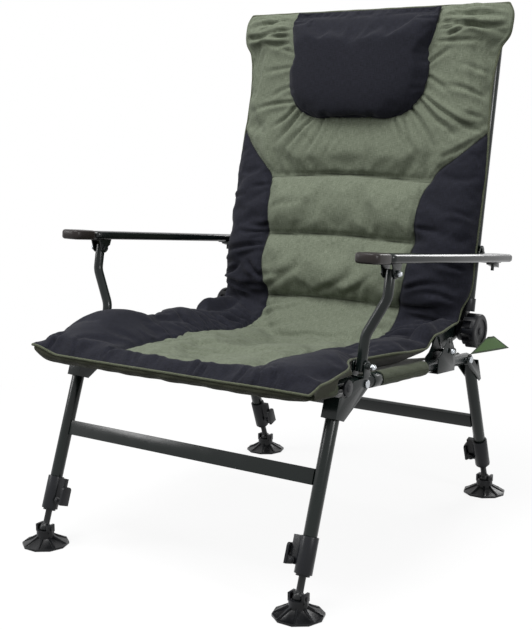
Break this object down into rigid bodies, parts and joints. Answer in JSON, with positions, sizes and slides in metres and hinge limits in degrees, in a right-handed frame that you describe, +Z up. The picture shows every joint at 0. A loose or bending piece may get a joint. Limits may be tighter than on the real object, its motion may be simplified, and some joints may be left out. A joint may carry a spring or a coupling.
{
  "type": "folding carp fishing chair",
  "caption": "Low folding angling chair with reclining padded back, swinging armrests and telescopic clip-locked legs on swivelling mud feet.",
  "frame": {"origin": "on the ground under the middle of the four mud feet", "axes": "+Z up, the chair faces -Y, +X towards the sitter's left side"},
  "size_m": [0.6126, 0.7312, 0.9034],
  "materials": {
    "powder_coat": "dark green-black semi-gloss powder coat",
    "zinc": "bright zinc plated fasteners",
    "inner_tube": "black coated inner tube",
    "clip_plastic": "black moulded plastic",
    "foot_plastic": "black moulded plastic with a fluted top",
    "knob_plastic": "black moulded plastic with a lobed rim",
    "arm_foam": "dark matt arm pad",
    "under_cloth": "dark olive woven underside",
    "cushion_cloth": "olive green woven cover with black side panels",
    "black_cloth": "black woven cover"
  },
  "bodies": {
    "seat": {"seat_frame": "powder_coat", "seat_sling": "under_cloth", "seat_cushion": "cushion_cloth", "post_bracket_left": "powder_coat", "front_leg_bolt_left": "zinc", "rear_leg_bolt_left": "zinc", "recliner_clamp_left": "powder_coat", "recliner_arm_left": "zinc", "post_bracket_right": "powder_coat", "front_leg_bolt_right": "zinc", "rear_leg_bolt_right": "zinc", "recliner_clamp_right": "powder_coat", "recliner_arm_right": "zinc"},
    "lock_button_left": {"lock_button_left": "clip_plastic"},
    "lock_button_right": {"lock_button_right": "clip_plastic"},
    "front_legs": {"front_leg_bar": "powder_coat", "front_gusset_left": "powder_coat", "front_leg_left": "powder_coat", "front_clip_left": "clip_plastic", "front_gusset_right": "powder_coat", "front_leg_right": "powder_coat", "front_clip_right": "clip_plastic"},
    "front_lever_left": {"front_lever_left": "clip_plastic"},
    "front_inner_leg_left": {"front_inner_leg_left": "inner_tube"},
    "front_foot_left": {"front_foot_left": "foot_plastic"},
    "front_lever_right": {"front_lever_right": "clip_plastic"},
    "front_inner_leg_right": {"front_inner_leg_right": "inner_tube"},
    "front_foot_right": {"front_foot_right": "foot_plastic"},
    "rear_legs": {"rear_leg_bar": "powder_coat", "rear_gusset_left": "powder_coat", "rear_leg_left": "powder_coat", "rear_clip_left": "clip_plastic", "rear_gusset_right": "powder_coat", "rear_leg_right": "powder_coat", "rear_clip_right": "clip_plastic"},
    "rear_lever_left": {"rear_lever_left": "clip_plastic"},
    "rear_inner_leg_left": {"rear_inner_leg_left": "inner_tube"},
    "rear_foot_left": {"rear_foot_left": "foot_plastic"},
    "rear_lever_right": {"rear_lever_right": "clip_plastic"},
    "rear_inner_leg_right": {"rear_inner_leg_right": "inner_tube"},
    "rear_foot_right": {"rear_foot_right": "foot_plastic"},
    "back": {"back_frame": "powder_coat", "back_sling": "under_cloth", "back_cushion": "cushion_cloth", "head_pillow": "black_cloth", "hinge_head_left": "clip_plastic", "hinge_head_right": "clip_plastic"},
    "recliner_knob_left": {"recliner_knob_left": "knob_plastic"},
    "post_left": {"arm_post_left": "powder_coat"},
    "rest_left": {"armrest_left": "arm_foam", "arm_cap_left": "clip_plastic", "arm_front_bracket_left": "powder_coat", "arm_rear_bracket_left": "powder_coat"},
    "recliner_knob_right": {"recliner_knob_right": "knob_plastic"},
    "post_right": {"arm_post_right": "powder_coat"},
    "rest_right": {"armrest_right": "arm_foam", "arm_cap_right": "clip_plastic", "arm_front_bracket_right": "powder_coat", "arm_rear_bracket_right": "powder_coat"}
  },
  "joints": [
    {"name": "lock_button_left_press", "type": "slide", "parent": "seat", "child": "lock_button_left", "axis": [-1, 0, 0], "range_m": [0, 0.0015], "stiffness_N_per_m": 1500, "springref_m": -0.001},
    {"name": "lock_button_right_press", "type": "slide", "parent": "seat", "child": "lock_button_right", "axis": [1, 0, 0], "range_m": [0, 0.0015], "stiffness_N_per_m": 1500, "springref_m": -0.001},
    {"name": "front_leg_fold", "type": "hinge", "parent": "seat", "child": "front_legs", "pos_m": [0, -0.16201, 0.30974], "axis": [1, 0, 0], "range_deg": [0, 88]},
    {"name": "front_lever_left_open", "type": "hinge", "parent": "front_legs", "child": "front_lever_left", "pos_m": [0.231, -0.3115, 0.07396], "axis": [0, -0.9379, 0.3469], "range_deg": [0, 75]},
    {"name": "front_inner_leg_left_slide", "type": "slide", "parent": "front_legs", "child": "front_inner_leg_left", "axis": [0, -0.3469, -0.9379], "range_m": [0, 0.12]},
    {"name": "front_foot_left_tilt", "type": "hinge", "parent": "front_inner_leg_left", "child": "front_foot_left", "pos_m": [0.25, -0.3285, 0.028], "axis": [1, 0, 0], "range_deg": [-20, 20]},
    {"name": "front_lever_right_open", "type": "hinge", "parent": "front_legs", "child": "front_lever_right", "pos_m": [-0.231, -0.3115, 0.07396], "axis": [0, 0.9379, -0.3469], "range_deg": [0, 75]},
    {"name": "front_inner_leg_right_slide", "type": "slide", "parent": "front_legs", "child": "front_inner_leg_right", "axis": [0, -0.3469, -0.9379], "range_m": [0, 0.12]},
    {"name": "front_foot_right_tilt", "type": "hinge", "parent": "front_inner_leg_right", "child": "front_foot_right", "pos_m": [-0.25, -0.3285, 0.028], "axis": [1, 0, 0], "range_deg": [-20, 20]},
    {"name": "rear_leg_fold", "type": "hinge", "parent": "seat", "child": "rear_legs", "pos_m": [0, 0.21571, 0.27869], "axis": [1, 0, 0], "range_deg": [-104, 0]},
    {"name": "rear_lever_left_open", "type": "hinge", "parent": "rear_legs", "child": "rear_lever_left", "pos_m": [0.231, 0.3115, 0.07396], "axis": [0, -0.9379, -0.3469], "range_deg": [0, 75]},
    {"name": "rear_inner_leg_left_slide", "type": "slide", "parent": "rear_legs", "child": "rear_inner_leg_left", "axis": [0, 0.3469, -0.9379], "range_m": [0, 0.12]},
    {"name": "rear_foot_left_tilt", "type": "hinge", "parent": "rear_inner_leg_left", "child": "rear_foot_left", "pos_m": [0.25, 0.3285, 0.028], "axis": [1, 0, 0], "range_deg": [-20, 20]},
    {"name": "rear_lever_right_open", "type": "hinge", "parent": "rear_legs", "child": "rear_lever_right", "pos_m": [-0.231, 0.3115, 0.07396], "axis": [0, 0.9379, 0.3469], "range_deg": [0, 75]},
    {"name": "rear_inner_leg_right_slide", "type": "slide", "parent": "rear_legs", "child": "rear_inner_leg_right", "axis": [0, 0.3469, -0.9379], "range_m": [0, 0.12]},
    {"name": "rear_foot_right_tilt", "type": "hinge", "parent": "rear_inner_leg_right", "child": "rear_foot_right", "pos_m": [-0.25, 0.3285, 0.028], "axis": [1, 0, 0], "range_deg": [-20, 20]},
    {"name": "back_fold", "type": "hinge", "parent": "seat", "child": "back", "pos_m": [0, 0.22197, 0.33035], "axis": [1, 0, 0], "range_deg": [-40, 96], "deforming": ["seat_cushion", "back_cushion", "head_pillow"]},
    {"name": "recliner_knob_left_turn", "type": "hinge", "parent": "seat", "child": "recliner_knob_left", "pos_m": [0.264, 0.22197, 0.33035], "axis": [1, 0, 0], "continuous": true},
    {"name": "post_left_swing", "type": "hinge", "parent": "seat", "child": "post_left", "pos_m": [0.254, -0.16279, 0.33689], "axis": [1, 0, 0], "range_deg": [-40, 96]},
    {"name": "rest_left_swing", "type": "hinge", "parent": "post_left", "child": "rest_left", "pos_m": [0.286, -0.13577, 0.47589], "axis": [1, 0, 0], "range_deg": [-96, 40]},
    {"name": "recliner_knob_right_turn", "type": "hinge", "parent": "seat", "child": "recliner_knob_right", "pos_m": [-0.264, 0.22197, 0.33035], "axis": [1, 0, 0], "continuous": true},
    {"name": "post_right_swing", "type": "hinge", "parent": "seat", "child": "post_right", "pos_m": [-0.254, -0.16279, 0.33689], "axis": [1, 0, 0], "range_deg": [-40, 96]},
    {"name": "rest_right_swing", "type": "hinge", "parent": "post_right", "child": "rest_right", "pos_m": [-0.286, -0.13577, 0.47589], "axis": [1, 0, 0], "range_deg": [-96, 40]}
  ],
  "couplings": [
    {"joint": "post_left_swing", "follows": "back_fold", "ratio": 1},
    {"joint": "rest_left_swing", "follows": "back_fold", "ratio": -1},
    {"joint": "post_right_swing", "follows": "back_fold", "ratio": 1},
    {"joint": "rest_right_swing", "follows": "back_fold", "ratio": -1}
  ]
}
